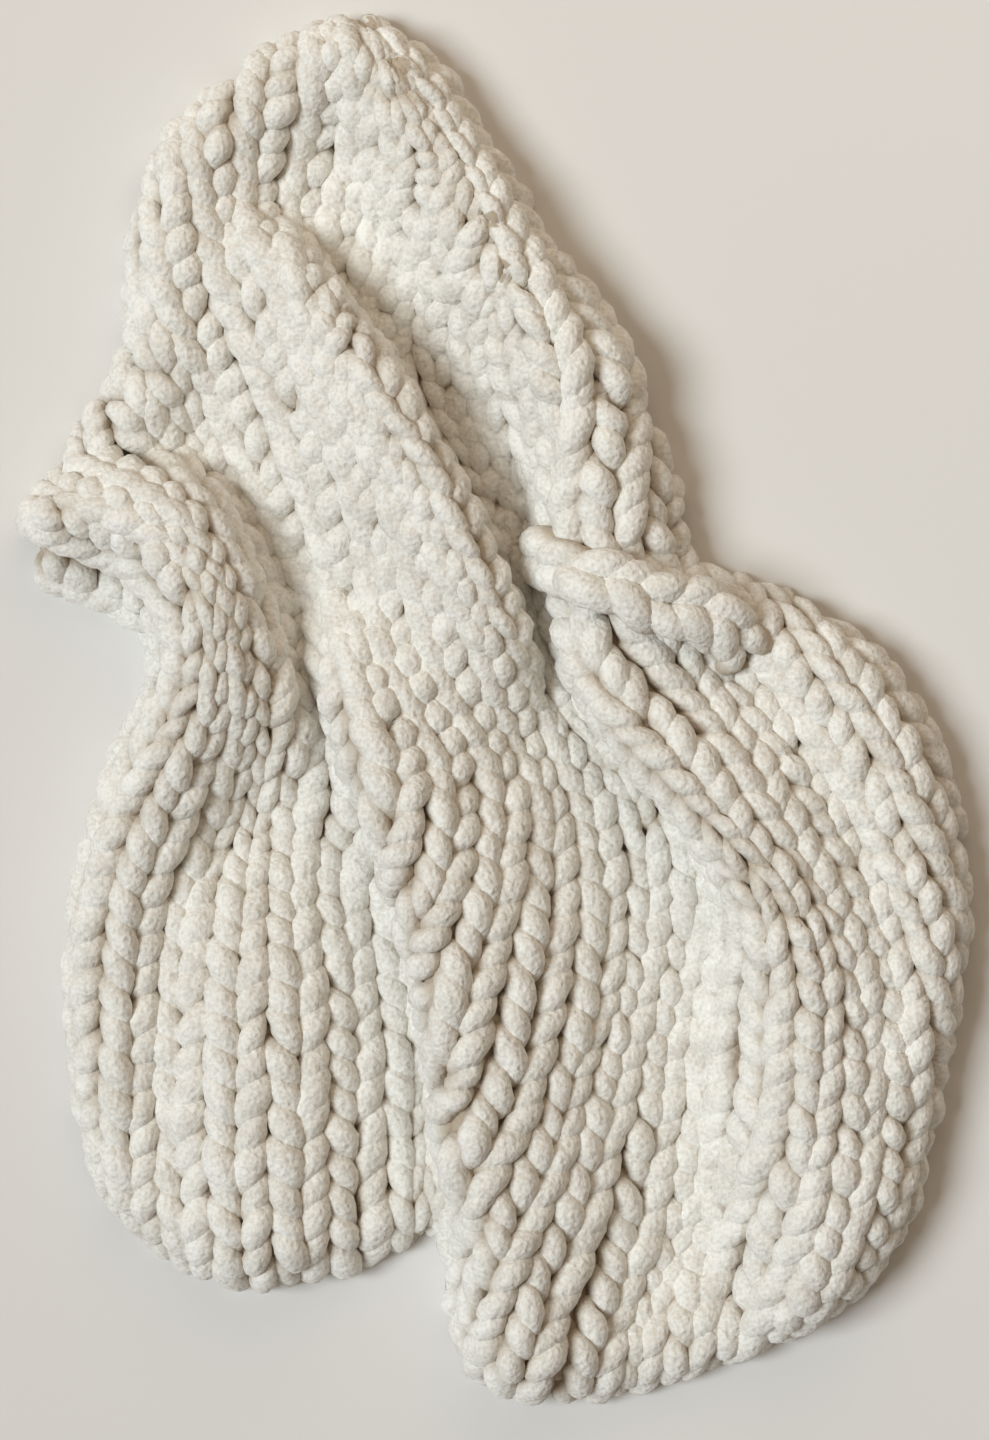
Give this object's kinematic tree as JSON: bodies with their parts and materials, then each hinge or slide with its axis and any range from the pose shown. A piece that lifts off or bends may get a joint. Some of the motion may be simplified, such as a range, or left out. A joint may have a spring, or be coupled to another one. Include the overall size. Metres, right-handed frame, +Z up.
{
  "type": "chunky knit blanket",
  "caption": "Hand-knitted blanket of thick chenille yarn, lying loosely in soft folds.",
  "frame": {"origin": "centre of the bounding box in plan, at the surface that the blanket lies on", "axes": "+Z up from the surface, +Y from the hem towards the top corner, +X towards the right lobe"},
  "size_m": [0.7186, 1.0488, 0.1043],
  "materials": {
    "cream_chenille": "matt plush chenille yarn, cream"
  },
  "bodies": {
    "root": {"blanket": "cream_chenille"}
  },
  "joints": []
}
